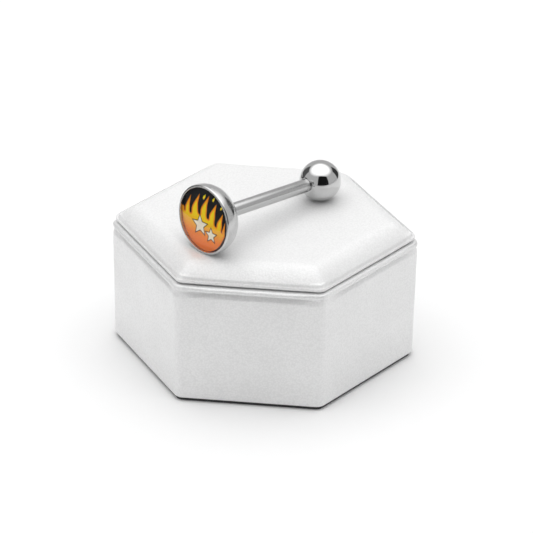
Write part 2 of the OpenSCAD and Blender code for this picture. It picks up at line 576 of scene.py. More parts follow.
def keep_piece(bm: bmesh.types.BMesh, name: str, place: Matrix, material: bpy.types.Material, slot: Slot,
               sharp_deg: float = 35.0) -> bpy.types.Object:
    """Turn a mesh in millimetres into a finished piece at its place.

    Args:
        bm: The mesh, which is freed here.
        name: The piece's plain name.
        place: Matrix from the mesh's millimetres to the frame's metres.
        material: The piece's finish.
        slot: The record's slot that the finish belongs to. It is not used.
        sharp_deg: Edges that turn more than this stay sharp.

    Returns:
        The piece, which rides on the body.
    """
    bmesh.ops.transform(bm, matrix=place, verts=bm.verts)
    for face in bm.faces:
        face.smooth = True
    for edge in bm.edges:
        edge.smooth = len(edge.link_faces) != 2 or edge.calc_face_angle() < math.radians(sharp_deg)
    piece = link_mesh(bm, name, material)
    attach(piece, "root")
    LOG.info("%s: %d faces", name, len(piece.data.polygons))
    return piece


def new_glow(name: str) -> tuple[bpy.types.Material, bpy.types.NodeTree, bpy.types.Node]:
    """Make a material that mirrors nothing and glows white, at a strength that the caller sets.

    Args:
        name: The material's plain name.

    Returns:
        The material, its node tree and its Principled shader.
    """
    material, tree, shader = new_finish(name)
    shader.inputs["Base Color"].default_value = dimmed(WHITE, 0.0)
    shader.inputs["Specular IOR Level"].default_value = 0.0
    shader.inputs["Emission Color"].default_value = WHITE
    return material, tree, shader


def stage_sheet(name: str, place: Matrix, material: bpy.types.Material) -> bpy.types.Object:
    """Put a flat sheet in the studio, which isn't part of the object.

    Args:
        name: The sheet's plain name.
        place: Matrix from a sheet that reaches one unit each way to the frame's metres.
        material: The sheet's finish.

    Returns:
        The staged sheet.
    """
    bm = bmesh.new()
    bm.loops.layers.uv.new("UVMap")
    bmesh.ops.create_grid(bm, x_segments=1, y_segments=1, size=1.0, calc_uvs=True)
    bmesh.ops.transform(bm, matrix=place, verts=bm.verts)
    sheet = link_mesh(bm, name, material)
    return sheet


@dataclass
class Barbell:
    """Steel barbell: the straight bar, the picture cup at one end and the ball at the other.

    Its own axis starts in the plane of the cup's rim and runs to the ball. Lengths are in
    millimetres, and places along it are measured from there.

    Attributes:
        bar_r: Radius of the bar.
        bar_from: Place of its end at the cup.
        bar_to: Place of its end at the ball.
        bar_end_r: Rounding of its shoulders.
        stud_r: Radius of the plain studs, which stand in for threads.
        stud_clearance: Gap between a stud and its bore.
        cup_stud: Length of the stud in the cup.
        ball_stud: Length of the stud in the ball.
        tip_gap: Gap between a stud's tip and the end of its bore.
        cup_r: Radius of the cup.
        cup_h: Its height from the rim's plane to its back.
        cup_roll_r: Radius at which its back is rolled.
        rim_w: Width of its rim.
        rim_round: Rounding of the rim outside.
        recess_round: Rounding of the rim inside.
        recess_h: Depth of the recess behind the rim's plane.
        ball_r: Radius of the ball.
        ball_flat_r: Radius of its flat, which meets the bar.
        ball_flat_z: Place of the flat.
        rest_x: Place across of the barbell's middle on the pad.
        rest_y: Place of its middle from front to back.
        rest_turn: Its turn from +X, in degrees.
        rest_gap: Gap between it and the pad's solid.
        pad_top: Height of the pad's solid.
        ball_steel: Finish of the ball.
        cup_steel: Finish of the cup.
        bar_steel: Finish of the bar.
    """

    bar_r: float = 0.825
    bar_from: float = 3.02
    bar_to: float = 17.02
    bar_end_r: float = 0.15
    stud_r: float = 0.6
    stud_clearance: float = 0.03
    cup_stud: float = 1.3
    ball_stud: float = 2.4
    tip_gap: float = 0.2
    cup_r: float = 4.2
    cup_h: float = 3.0
    cup_roll_r: float = 2.4
    rim_w: float = 0.3
    rim_round: float = 0.22
    recess_round: float = 0.08
    recess_h: float = 0.6
    ball_r: float = 2.5
    ball_flat_r: float = 0.925
    ball_flat_z: float = 17.04
    rest_x: float = 0.0
    rest_y: float = -2.85
    rest_turn: float = 50.9
    rest_gap: float = 0.03
    pad_top: float = 17.9
    ball_steel: PolishedSteel = PolishedSteel("Mirror buffed steel", roughness=0.06)
    cup_steel: PolishedSteel = PolishedSteel("Turned and buffed steel", roughness=0.19, bump_mm=0.0008)
    bar_steel: PolishedSteel = PolishedSteel("Drawn and buffed steel", "#BEBEBE", roughness=0.17,
                                             line_mm=0.12, along_scale=25.0, bump_mm=0.001, drawn=True)

    @property
    def ball_z(self) -> float:
        """Place of the ball's centre along the axis."""
        return self.ball_flat_z + math.sqrt(self.ball_r ** 2 - self.ball_flat_r ** 2)

    @property
    def roll_centre(self) -> tuple[float, float]:
        """Distance from the axis, and place along it, of the middle of the cup's rolled edge."""
        return self.cup_r - self.cup_roll_r, self.cup_h - self.cup_roll_r

    @property
    def tilt(self) -> float:
        """Work out how far the axis falls towards the ball.

        Returns:
            The fall in radians.
        """
        ring_r, ring_z = self.roll_centre
        span = self.ball_z - ring_z
        reach = math.hypot(ring_r, span)
        return math.acos((self.ball_r - self.cup_roll_r) / reach) - math.atan2(span, ring_r)

    def place(self) -> Matrix:
        """Work out the barbell's place on the padded top.

        Returns:
            Matrix from the barbell's own axis, in millimetres, to the frame, in millimetres.
        """
        middle = self.ball_z / 2
        lift = self.ball_r + middle * math.sin(self.tilt)
        where = Matrix.Translation((self.rest_x, self.rest_y, self.pad_top + self.rest_gap + lift))
        turn = Matrix.Rotation(math.radians(self.rest_turn), 4, "Z")
        lean = Matrix.Rotation(math.pi / 2 + self.tilt, 4, "Y")
        return where @ turn @ lean @ Matrix.Translation((0, 0, -middle))

    def axis_place(self) -> Matrix:
        """Place of the axis in metres, for patterns that follow it."""
        place = self.place()
        return Matrix.Translation(place.to_translation() * MM) @ place.to_quaternion().to_matrix().to_4x4()

    def clearance(self, point: Vector) -> float:
        """Measure how far a point is from the ball and the cup.

        Args:
            point: Point about the barbell's own axis, in millimetres.

        Returns:
            Distance to the nearer one, negative inside it.
        """
        to_ball = (point - Vector((0, 0, self.ball_z))).length - self.ball_r
        radial = point.xy.length
        ring_r, ring_z = self.roll_centre
        if point.z > ring_z:
            over = max(0.0, radial - ring_r)
            to_cup = math.hypot(over, point.z - ring_z) - self.cup_roll_r
        else:
            to_cup = max(radial - self.cup_r, -point.z)
        return min(to_ball, to_cup)

    def build_bar(self) -> bmesh.types.BMesh:
        """Turn the bar with its rounded shoulders and a plain stud at each end.

        Returns:
            The bar's mesh, in millimetres about the barbell's own axis.
        """
        bm = turned([
            (0.0, self.bar_from - self.cup_stud),
            (self.stud_r, self.bar_from - self.cup_stud),
            (self.stud_r, self.bar_from),
            (self.bar_r, self.bar_from),
            (self.bar_r, self.bar_to),
            (self.stud_r, self.bar_to),
            (self.stud_r, self.bar_to + self.ball_stud),
            (0.0, self.bar_to + self.ball_stud),
        ], steps=96)
        for height in (self.bar_from, self.bar_to):
            round_corner(bm, self.bar_r, height, self.bar_end_r, segments=6)
        return bm

    def build_cup(self) -> bmesh.types.BMesh:
        """Turn the cup: bored back, rolled edge, straight side, thin rim and the recess.

        Returns:
            The cup's mesh, in millimetres about the barbell's own axis.
        """
        bore_r = self.stud_r + self.stud_clearance
        bore_end = self.cup_h - self.cup_stud - self.tip_gap
        recess_r = self.cup_r - self.rim_w
        bm = turned([
            (0.0, bore_end),
            (bore_r, bore_end),
            (bore_r, self.cup_h),
            (self.cup_r, self.cup_h),
            (self.cup_r, 0.0),
            (recess_r, 0.0),
            (recess_r, self.recess_h),
            (0.0, self.recess_h),
        ], steps=160)
        round_corner(bm, self.cup_r, self.cup_h, self.cup_roll_r, segments=28)
        round_corner(bm, self.cup_r, 0.0, self.rim_round, segments=8)
        round_corner(bm, recess_r, 0.0, self.recess_round, segments=5)
        return bm

    def build_ball(self) -> bmesh.types.BMesh:
        """Make the ball with the flat that meets the bar and its blind bore.

        Returns:
            The ball's mesh, in millimetres about the barbell's own axis.
        """
        flat_drop = self.ball_z - self.ball_flat_z
        bm = bmesh.new()
        bmesh.ops.create_uvsphere(bm, u_segments=160, v_segments=96, radius=self.ball_r)
        cut = bmesh.ops.bisect_plane(bm, geom=bm.verts[:] + bm.edges[:] + bm.faces[:],
                                     plane_co=(0, 0, -flat_drop), plane_no=(0, 0, -1), clear_outer=True)
        rim = [item for item in cut["geom_cut"] if isinstance(item, bmesh.types.BMEdge)]
        flat = bmesh.ops.contextual_create(bm, geom=rim)["faces"][0]
        land = self.ball_flat_r - self.stud_r - self.stud_clearance
        bmesh.ops.inset_region(bm, faces=[flat], thickness=land, use_even_offset=True)
        depth = Vector((0, 0, self.ball_stud + self.tip_gap))
        raise_ring(bm, flat, lambda co: co + depth)
        bmesh.ops.translate(bm, verts=bm.verts, vec=(0, 0, self.ball_z))
        bmesh.ops.recalc_face_normals(bm, faces=bm.faces)
        return bm

    def build(self) -> None:
        """Build and dress the three steel pieces."""
        place = TO_METRES @ self.place()
        axis = self.axis_place()
        bar = keep_piece(self.build_bar(), "polished_bar", place, self.bar_steel.make(axis), Slot.STEEL)
        cup = keep_piece(self.build_cup(), "picture_cup", place, self.cup_steel.make(axis), Slot.STEEL)
        ball = keep_piece(self.build_ball(), "screw_ball", place, self.ball_steel.make(axis), Slot.STEEL)
        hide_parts("bar")
        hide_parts("cup")
        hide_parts("ball")


@dataclass(frozen=True)
class FlameTongue:
    """One tongue of a painted flame, from the valley on its left to its tip.

    Attributes:
        valley: Lowest point of the rounded gap on its left.
        left: Point on its left flank.
        tip: Its pointed end.
        right: Point on its right flank.
    """

    valley: tuple[float, float]
    left: tuple[float, float]
    tip: tuple[float, float]
    right: tuple[float, float]


@dataclass
class PictureUnderEpoxy:
    """Printed disc in the cup, with flames, two stars and loose flames, under a clear dome.

    Points of the print are across and up, as seen from the front of the cup. Lengths are in
    millimetres, and places along the barbell's axis are measured from the rim's plane.

    Attributes:
        barbell: The barbell that holds the picture.
        disc_r: Radius of the printed disc.
        front_z: Place of its front.
        back_z: Place of its back.
        dome_r: Radius of the dome.
        dome_back_z: Place of the dome's back.
        dome_rise: Rise of the dome's crown in front of the rim's plane.
        ink_mm: Thickness of a layer of ink, drawn thick enough to show.
        first_ink: Height of the first layer's underside over the disc.
        ink_step: Height from one layer's underside to the next one's.
        base_r: Radius of the flame's foot, which follows the disc's edge.
        base_arc: First angle, end and step of the foot's points, in degrees.
        bare_w: How far the foot stays short of that radius on the right.
        bare_arc: Angles between which that grows, in degrees.
        edge_w: How far the orange edge reaches out round the flame.
        heart_in: How far the yellow heart lies inside it.
        line_w: Width of the dark line round a star.
        star_waist: Radius between a star's arms, as a share of its radius.
        star_turn: Turn of the stars, in radians.
        tongues: The flame's tongues, from left to right.
        stars: Place across and up of each star's middle, and its radius.
        sparks: Place across and up of each loose flame's foot, and its length.
    """

    barbell: Barbell
    disc_r: float = 3.87
    front_z: float = 0.43
    back_z: float = 0.58
    dome_r: float = 3.88
    dome_back_z: float = 0.44
    dome_rise: float = 0.3
    ink_mm: float = 0.002
    first_ink: float = 0.001
    ink_step: float = 0.003
    base_r: float = 3.8
    base_arc: tuple[int, int, int] = (-15, -190, -10)
    bare_w: float = 0.45
    bare_arc: tuple[int, int] = (-85, -20)
    edge_w: float = 0.08
    heart_in: float = 0.1
    line_w: float = 0.1
    star_waist: float = 0.46
    star_turn: float = 0.12
    tongues: tuple[FlameTongue, ...] = (
        FlameTongue((-3.45, -0.2), (-3.3, 0.5), (-2.75, 1.75), (-2.78, 0.7)),
        FlameTongue((-2.45, -0.15), (-2.2, 0.85), (-1.35, 2.45), (-1.45, 1.2)),
        FlameTongue((-1.0, 0.2), (-0.7, 1.2), (0.2, 2.75), (0.05, 1.4)),
        FlameTongue((0.45, 0.1), (0.75, 0.95), (1.5, 2.2), (1.45, 1.0)),
        FlameTongue((1.8, -0.4), (2.05, 0.3), (2.65, 1.35), (2.65, 0.2)),
        FlameTongue((2.85, -0.75), (2.95, -0.4), (3.15, 0.3), (3.2, -0.6)),
    )
    stars: tuple[tuple[float, float, float], ...] = ((-0.75, -1.0, 1.2), (1.15, -1.65, 0.85))
    sparks: tuple[tuple[float, float, float], ...] = ((-0.55, 2.35, 0.75), (1.0, 2.6, 0.6), (2.35, 2.05, 0.5))

    def face_place(self, layer: int) -> Matrix:
        """Find the place of one layer of ink on the front of the disc.

        Args:
            layer: Number of layers under it.

        Returns:
            Matrix from points across and up the print, about the layer's middle, to metres.
        """
        height = self.first_ink + self.ink_step * layer + self.ink_mm / 2
        to_axis = Matrix(((0, -1, 0, 0), (-1, 0, 0, 0), (0, 0, -1, self.front_z - height), (0, 0, 0, 1)))
        return TO_METRES @ self.barbell.place() @ to_axis

    def flame_outline(self) -> PrintOutline:
        """List the points round the flame, and which of them are pointed.

        Returns:
            Place of each point and whether it is a pointed tip.
        """
        points: PrintOutline = []
        for tongue in self.tongues:
            points += [(tongue.valley, False), (tongue.left, False)]
            points += [(tongue.tip, True), (tongue.right, False)]
        for angle in range(*self.base_arc):
            turn = math.radians(angle)
            reach = self.base_r - self.bare_w * step(*self.bare_arc, angle)
            points.append(((reach * math.cos(turn), reach * math.sin(turn)), False))
        return points

    def star_outline(self, across: float, up: float, outer: float) -> PrintOutline:
        """List the points of a regular five-pointed star.

        Args:
            across: Place of its middle across the print.
            up: Place of its middle up the print.
            outer: Radius of the arms' tips.

        Returns:
            Place of each point, all of them pointed.
        """
        made = []
        for k in range(10):
            turn = math.pi / 2 - k * math.pi / 5 + self.star_turn
            reach = outer * (1.0 if k % 2 == 0 else self.star_waist)
            made.append(((across + reach * math.cos(turn), up + reach * math.sin(turn)), True))
        return made

    def spark_outline(self, across: float, up: float, length: float) -> PrintOutline:
        """List the points of one small loose flame.

        Args:
            across: Place of its foot across the print.
            up: Place of its foot up the print.
            length: How long it is.

        Returns:
            Place of each point and whether it is pointed.
        """
        return [
            ((across, up), False),
            ((across - 0.13 * length, up + 0.3 * length), False),
            ((across + 0.42 * length, up + length), True),
            ((across + 0.26 * length, up + 0.3 * length), False),
        ]

    def printed_shape(self, name: str, outline: PrintOutline, grow: float, layer: int,
                      ink: bpy.types.Material) -> bpy.types.Object:
        """Print one closed shape as a thin layer of ink.

        Args:
            name: The piece's plain name.
            outline: Points of the shape and whether each is pointed.
            grow: How far the shape is pushed out, or in where it is negative.
            layer: Number of layers of ink under it.
            ink: The shape's finish.

        Returns:
            The printed piece.
        """
        curve = bpy.data.curves.new(name + "_outline", "CURVE")
        curve.dimensions = "2D"
        curve.fill_mode = "BOTH"
        curve.resolution_u = 12
        curve.extrude = self.ink_mm / 2
        curve.offset = grow
        spline = curve.splines.new("BEZIER")
        spline.bezier_points.add(len(outline) - 1)
        spline.use_cyclic_u = True
        for point, (place, pointed) in zip(spline.bezier_points, outline):
            point.co = (place[0], place[1], 0.0)
            point.handle_left_type = "VECTOR" if pointed else "AUTO"
            point.handle_right_type = "VECTOR" if pointed else "AUTO"
        drawn = bpy.data.objects.new(name + "_outline", curve)
        bpy.context.scene.collection.objects.link(drawn)
        mesh = bpy.data.meshes.new_from_object(drawn.evaluated_get(bpy.context.evaluated_depsgraph_get()))
        bm = bmesh.new()
        bm.from_mesh(mesh)
        bpy.data.objects.remove(drawn)
        bpy.data.curves.remove(curve)
        bpy.data.meshes.remove(mesh)
        bmesh.ops.remove_doubles(bm, verts=bm.verts, dist=1e-4)
        bmesh.ops.recalc_face_normals(bm, faces=bm.faces)
        return keep_piece(bm, name, self.face_place(layer), ink, Slot.PRINT)

    def build_disc(self) -> bmesh.types.BMesh:
        """Turn the plain disc that carries the print."""
        return turned([(0.0, self.front_z), (self.disc_r, self.front_z), (self.disc_r, self.back_z),
                       (0.0, self.back_z)], steps=96)

    def build_dome(self) -> bmesh.types.BMesh:
        """Turn the clear dome, which is poured on the print and crowns in front of the rim.

        Returns:
            The dome's mesh, in millimetres about the barbell's own axis.
        """
        crown_r = (self.dome_r ** 2 + self.dome_rise ** 2) / (2 * self.dome_rise)
        spread = math.asin(self.dome_r / crown_r)
        steps = 24
        crown = []
        for k in range(steps + 1):
            turn = spread * (1 - k / steps)
            crown.append((crown_r * math.sin(turn), crown_r - self.dome_rise - crown_r * math.cos(turn)))
        return turned([(0.0, self.dome_back_z), (self.dome_r, self.dome_back_z), *crown], steps=128)

    def build(self) -> None:
        """Build and dress the disc, its print and the dome."""
        axis = self.barbell.axis_place()
        place = TO_METRES @ self.barbell.place()
        black = PrintInk("Black ground ink", ((0.0, "#121115"), (0.5, "#141317"), (1.0, "#17171B")))
        orange = PrintInk("Orange flame ink", (
            (0.05, "#FF7A22"), (0.25, "#FF8426"), (0.45, "#FF9622"), (0.75, "#FF9A1E"), (0.95, "#FF8A1A")))
        yellow = PrintInk("Yellow flame ink", (
            (0.05, "#FF7A22"), (0.22, "#FF8826"), (0.36, "#FFB020"), (0.5, "#FFDA1A"), (0.95, "#FFE81E")))
        cream = PrintInk("Cream star ink", ((0.1, "#F6EBD2"), (0.6, "#FAF2E0")))
        rust = PrintInk("Dark rust line ink", ((0.1, "#3C150A"), (0.6, "#4A1C0C")))
        disc = keep_piece(self.build_disc(), "picture_disc", place, black.make(axis, self.disc_r), Slot.PRINT)
        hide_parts("picture")
        flame = self.flame_outline()
        orange_ink = orange.make(axis, self.disc_r)
        yellow_ink = yellow.make(axis, self.disc_r)
        cream_ink = cream.make(axis, self.disc_r)
        rust_ink = rust.make(axis, self.disc_r)
        self.printed_shape("flame_edge", flame, self.edge_w, 0, orange_ink)
        self.printed_shape("flame_heart", flame, -self.heart_in, 1, yellow_ink)
        for number, (across, up, length) in enumerate(self.sparks, 1):
            spark = self.spark_outline(across, up, length)
            self.printed_shape(f"spark_{number}", spark, 0.0, 0, yellow_ink)
        for number, (across, up, outer) in enumerate(self.stars, 1):
            star = self.star_outline(across, up, outer)
            self.printed_shape(f"star_line_{number}", star, self.line_w, 2, rust_ink)
            self.printed_shape(f"star_{number}", star, 0.0, 3, cream_ink)
        dome = keep_piece(self.build_dome(), "epoxy_dome", place, ClearEpoxy().make(), Slot.EPOXY)
        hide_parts("dome")


@dataclass(frozen=True)
class HexOutline:
    """Plan of the stand: a hexagon with a front, a back and four slanted faces.

    Attributes:
        width: Its width across the two side corners.
        depth: Its depth from the front face to the back one.
        front_w: Width of the front and back faces.
        corner_r: Rounding of its corners.
        corner_cut: Length that is bevelled off a corner's faces, as a share of the rounding.
        inset: How far its faces are moved in.
    """

    width: float = 36.8
    depth: float = 29.3
    front_w: float = 17.1
    corner_r: float = 1.3
    corner_cut: float = 0.62
    inset: float = 0.0

    def corners(self, inset: float) -> list[Vector]:
        """List the corners of the hexagon moved in by a distance.

        Args:
            inset: How far the faces are moved in.

        Returns:
            Six corners, anticlockwise from +X.
        """
        side_turn = math.atan2(self.width / 2 - self.front_w / 2, self.depth / 2)
        side_dist = self.width / 2 * math.cos(side_turn)
        y = self.depth / 2 - inset
        x_side = (side_dist - inset) / math.cos(side_turn)
        x_front = (side_dist - inset - y * math.sin(side_turn)) / math.cos(side_turn)
        return [Vector(p) for p in ((x_side, 0), (x_front, y), (-x_front, y), (-x_side, 0), (-x_front, -y),
                                    (x_front, -y))]

    def face_depths(self, point: Vector) -> list[float]:
        """Measure how far a point lies inside each of the six faces.

        Args:
            point: Point in plan.

        Returns:
            Depth inside each face, negative outside it.
        """
        ring = self.corners(self.inset)
        depths = []
        for a, b in zip(ring, ring[1:] + ring[:1]):
            along = (b - a).normalized()
            depths.append((point - a).dot(Vector((-along.y, along.x))))
        return depths

    def core_spot(self, point: Vector) -> Vector:
        """Find the nearest place on the hexagon one corner radius inside the faces.

        Args:
            point: Point in plan, near the outline.

        Returns:
            Place on that hexagon, about which the outline is rounded.
        """
        ring = self.corners(self.inset + self.corner_r)
        spots = [self.on_edge(point, a, b) for a, b in zip(ring, ring[1:] + ring[:1])]
        return min(spots, key=lambda spot: (point - spot).length)

    def outward(self, point: Vector) -> Vector:
        """Find the outline's outward direction beside a point, as a unit vector in plan."""
        return (point - self.core_spot(point)).normalized()

    def inside_depth(self, point: Vector) -> float:
        """Measure how far a point near the edge lies inside the rounded outline.

        Args:
            point: Point in plan, near the outline.

        Returns:
            Depth inside the outline, negative outside it.
        """
        away = (point - self.core_spot(point)).length
        beyond = min(self.face_depths(point)) < self.corner_r
        return self.corner_r - away if beyond else self.corner_r + away

    def on_outline(self, point: Vector) -> Vector:
        """Move a point to the nearest place on the rounded outline."""
        return self.core_spot(point) + self.outward(point) * self.corner_r

    @staticmethod
    def on_edge(point: Vector, a: Vector, b: Vector) -> Vector:
        """Find the nearest place to a point on the line from a to b."""
        share = (point - a).dot(b - a) / (b - a).length_squared
        return a + (b - a) * min(1.0, max(0.0, share))

    def start_mesh(self, spacing: float) -> tuple[bmesh.types.BMesh, bmesh.types.BMFace]:
        """Make the outline as one flat face with rounded corners.

        Args:
            spacing: Greatest distance between points along the straight faces.

        Returns:
            The mesh and its one face, at height zero.
        """
        bm = bmesh.new()
        verts = [bm.verts.new((p.x, p.y, 0.0)) for p in self.corners(self.inset)]
        bm.faces.new(verts)
        bmesh.ops.bevel(bm, geom=verts, offset=self.corner_cut * self.corner_r, offset_type="OFFSET",
                        segments=10, profile=0.5, affect="VERTICES", material=-1)
        long_edges = [edge for edge in bm.edges if edge.calc_length() > 4 * spacing]
        for edge in long_edges:
            cuts = int(edge.calc_length() / spacing)
            bmesh.ops.subdivide_edges(bm, edges=[edge], cuts=cuts)
        for vert in bm.verts:
            vert.co.xy = self.on_outline(vert.co.xy)
        bm.faces.ensure_lookup_table()
        face = bm.faces[0]
        if face.normal.z < 0:
            face.normal_flip()
        return bm, face


def ripple(where: Vector, length_mm: float, seed: float) -> float:
    """Read a smooth even ripple that is the same at each run.

    Args:
        where: Point in millimetres.
        length_mm: Typical length of one ripple.
        seed: Number that sets this ripple apart from the others.

    Returns:
        A number from about -1 to 1.
    """
    return noise.noise(where / length_mm + Vector((seed, 2.3 * seed, -1.7 * seed)))


def step(low: float, high: float, value: float) -> float:
    """Rise smoothly from 0 at the low value to 1 at the high one."""
    share = min(1.0, max(0.0, (value - low) / (high - low)))
    return share * share * (3 - 2 * share)


def sweep(from_deg: float, to_deg: float, count: int) -> list[float]:
    """List evenly spaced angles from one to another, both included.

    Args:
        from_deg: First angle, in degrees.
        to_deg: Last angle, in degrees.
        count: Number of steps between them.

    Returns:
        The angles in radians.
    """
    return [math.radians(from_deg + (to_deg - from_deg) * k / count) for k in range(count + 1)]


@dataclass(frozen=True)
class Unevenness:
    """One kind of push that stretching gives a cover.

    Attributes:
        deep: How far it pushes the cover at most, negative where it draws it in.
        grows: Heights between which it sets in, if it does.
        fades: Heights between which it dies away, if it does.
        wave: Length of its ripples, or 0 where it is even.
        seed: Number that sets its ripples apart from the others.
    """

    deep: float
    grows: tuple[float, float] | None = None
    fades: tuple[float, float] | None = None
    wave: float = 0.0
    seed: float = 0.0

    def push(self, where: Vector, height: float = 0.0) -> float:
        """Measure its push at one point of the cover.

        Args:
            where: Point at which its ripples are read.
            height: The point's height, where the push depends on it.

        Returns:
            The push in millimetres.
        """
        amount = self.deep
        if self.grows:
            amount *= step(*self.grows, height)
        if self.fades:
            amount *= 1 - step(*self.fades, height)
        if self.wave:
            amount *= ripple(where, self.wave, self.seed)
        return amount


@dataclass
class StandBlock:
    """Hexagonal block wrapped in leatherette, which is rolled over its top edge.

    Lengths and heights are in millimetres.

    Attributes:
        outline: The block's plan.
        plinth_h: Height of the base card that it stands on.
        plinth_in: How far the card lies in from the faces.
        foot_r: Rounding where the cover is folded under.
        foot_steps: Number of steps round that fold.
        face_top_z: Height up to which the tall faces are flat.
        face_rings: Number of rings up the tall faces.
        valley_z: Height of the valley under the bead.
        valley_in: Depth of the valley.
        valley_rings: Number of rings from the faces to the valley.
        join_in: How far the cover is drawn in between the valley and the bead.
        bead_z: Height of the bead's middle.
        bead_tall: Half the bead's height.
        bead_wide: Half the width that the bead would have as a whole oval.
        bead_out: How far the bead stands out from the faces.
        bead_turn: Angles at which the bead's section starts and ends, in degrees.
        bead_steps: Number of steps over the bead.
        bead_end: How far down and in the cover goes behind the bead.
        seat_z: Height of the hidden top.
        seat_in: How far in the hidden top begins.
        seat_slope: Width of the last slope down to it.
        spacing: Greatest distance between points along a face.
        swell: Long waves of the tall faces.
        tucks: Small upright tucks under the bead.
        gathers: Waves that the bead takes from the folds under it.
        edge_rise: Rise and fall of the bead's height.
        at_corners: How the cover bulks at the corners, below the bead and in its valley, and is
            drawn tight over them in the bead.
        tall_stretch: Width of a tuck as a share of its length.
        inner_r: Within this radius there is only the hidden top, which stays flat.
        inner_share: Size of the innermost ring as a share of the one round it.
        corner_w: Depths inside the next face between which a corner's effect ends.
    """

    outline: HexOutline = field(default_factory=HexOutline)
    plinth_h: float = 0.46
    plinth_in: float = 0.42
    foot_r: float = 0.25
    foot_steps: int = 6
    face_top_z: float = 14.1
    face_rings: int = 22
    valley_z: float = 14.94
    valley_in: float = 0.3
    valley_rings: int = 8
    join_in: float = 0.03
    bead_z: float = 15.25
    bead_tall: float = 0.4
    bead_wide: float = 0.62
    bead_out: float = 0.19
    bead_turn: tuple[float, float] = (-30.0, 110.0)
    bead_steps: int = 17
    bead_end: tuple[float, float] = (0.03, 0.15)
    seat_z: float = 15.6
    seat_in: float = 1.1
    seat_slope: float = 0.12
    spacing: float = 0.2
    swell: Unevenness = Unevenness(0.025, (0.2, 1.5), wave=7.0, seed=3.1)
    tucks: Unevenness = Unevenness(0.045, (12.3, 14.5), (15.2, 15.6), 0.65, 7.7)
    gathers: Unevenness = Unevenness(0.03, (14.3, 15.0), wave=1.7, seed=5.2)
    edge_rise: Unevenness = Unevenness(0.05, (14.2, 15.2), wave=4.5, seed=9.4)
    at_corners: tuple[Unevenness, ...] = (
        Unevenness(0.12, (3.0, 14.0), (14.94, 15.06)),
        Unevenness(0.14, (14.2, 14.9), (14.94, 15.06)),
        Unevenness(-0.06, (15.0, 15.2), (15.4, 15.6)),
    )
    tall_stretch: float = 0.18
    inner_r: float = 13.9
    inner_share: float = 0.93
    corner_w: tuple[float, float] = (0.7, 3.2)

    def levels(self) -> list[tuple[float, float]]:
        """List the heights of the rings and how far each stands out from the faces.

        The cover is folded under a little over the table, round a flat base card. At the top it
        rolls over a bead and down behind it, under the padded top.

        Returns:
            Height and offset of each ring, from the base to the middle of the top.
        """
        made = [(0.0, -self.plinth_in), (self.plinth_h, -self.plinth_in)]
        for turn in sweep(0.0, 90.0, self.foot_steps):
            made.append((self.plinth_h + self.foot_r * (1 - math.cos(turn)),
                         self.foot_r * (math.sin(turn) - 1)))
        foot_top = self.plinth_h + self.foot_r
        for k in range(1, self.face_rings + 1):
            made.append((foot_top + (self.face_top_z - foot_top) * k / self.face_rings, 0.0))
        for k in range(1, self.valley_rings + 1):
            share = k / self.valley_rings
            z = self.face_top_z + (self.valley_z - self.face_top_z) * share
            made.append((z, -self.valley_in * step(0.0, 1.0, share)))
        bead_in = self.bead_out - self.bead_wide
        bead = [(self.bead_z + self.bead_tall * math.sin(turn), bead_in + self.bead_wide * math.cos(turn))
                for turn in sweep(*self.bead_turn, self.bead_steps)]
        made.append(((self.valley_z + bead[0][0]) / 2, (bead[0][1] - self.valley_in) / 2 - self.join_in))
        made += bead
        made.append((bead[-1][0] - self.bead_end[0], bead[-1][1] - self.bead_end[1]))
        made.append((self.seat_z, self.seat_slope - self.seat_in))
        made.append((self.seat_z, -self.seat_in))
        return made

    def build(self) -> None:
        """Build and dress the block's cover."""
        bm, cap = self.outline.start_mesh(self.spacing)
        levels = self.levels()
        start = levels[0][1]
        for vert in bm.verts:
            out = self.outline.outward(vert.co.xy)
            vert.co.xy += out * start
        before = start
        for z, offset in levels[1:]:
            change = offset - before

            def move(co: Vector, z: float = z, change: float = change) -> Vector:
                """Raise a point to this ring and push it out from the face."""
                flat = co.xy + self.outline.outward(co.xy) * change
                return Vector((flat.x, flat.y, z))

            cap = raise_ring(bm, cap, move)
            before = offset
        share = self.inner_share
        inner = raise_ring(bm, cap, lambda co: Vector((share * co.x, share * co.y, co.z)))
        inner.normal_update()
        for vert in bm.verts:
            self.crease(vert)
        bmesh.ops.recalc_face_normals(bm, faces=bm.faces)
        # The cover is painted dark up to just over the base card: painted shade under the block.
        finish = PearlLeatherette("Pearl leatherette on the block", "#EDEDED", "#E1E1E1",
                                  crease_from_mm=9.3, crease_to_mm=14.5, board_shade_mm=self.plinth_h + 0.01,
                                  roughness=0.38)
        piece = keep_piece(bm, "block_cover", TO_METRES, finish.make(), Slot.LEATHERETTE, sharp_deg=60.0)
        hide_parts("stand_block")

    def crease(self, vert: bmesh.types.BMVert) -> None:
        """Give one point of the cover the slight unevenness of stretched leatherette.

        Args:
            vert: Point of the block's cover.
        """
        z = vert.co.z
        if z <= self.plinth_h or vert.co.xy.length < self.inner_r:
            return
        out = self.outline.outward(vert.co.xy)
        around = Vector((vert.co.x, vert.co.y, self.tall_stretch * z))
        beside = sorted(self.outline.face_depths(vert.co.xy))[1]
        corner = 1 - step(*self.corner_w, beside)
        push = self.swell.push(vert.co.copy(), z)
        push += self.tucks.push(around, z) + self.gathers.push(around, z)
        push += corner * sum(bulk.push(around, z) for bulk in self.at_corners)
        vert.co.xy += out * push
        vert.co.z += self.edge_rise.push(around, z)


